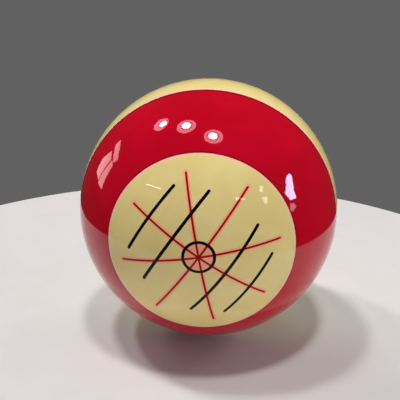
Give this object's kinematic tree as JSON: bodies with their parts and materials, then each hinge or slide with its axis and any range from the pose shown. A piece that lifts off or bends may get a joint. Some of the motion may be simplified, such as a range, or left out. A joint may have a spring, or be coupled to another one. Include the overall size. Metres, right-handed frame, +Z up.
{
  "type": "spin-training cue ball",
  "caption": "Ivory cue ball with a red band round one pole and an ivory face inside it, inlaid with a red aiming star, a small black ring and black side lines.",
  "frame": {"origin": "centre of the ball", "axes": "-Y is the front pole, where the red spokes meet and the cue strikes; +Z is up as the ball is set on the table; +X is to the right, seen from the front"},
  "size_m": [0.0572, 0.0572, 0.0572],
  "materials": {
    "ivory_resin": "cast phenolic resin, ground and polished to a high gloss",
    "red_resin": "cast phenolic resin, ground and polished to a high gloss",
    "red_inlay": "poured resin inlay, polished flush",
    "black_inlay": "poured resin inlay, polished flush",
    "filled_core_resin": "mineral-filled resin, as cast"
  },
  "bodies": {
    "root": {"core": "filled_core_resin", "ivory_body": "ivory_resin", "red_band": "red_resin", "ivory_face": "ivory_resin", "centre_ring": "black_inlay", "left_outer_line": "black_inlay", "left_inner_line": "black_inlay", "right_inner_line": "black_inlay", "right_outer_line": "black_inlay", "aiming_star": "red_inlay"}
  },
  "joints": []
}
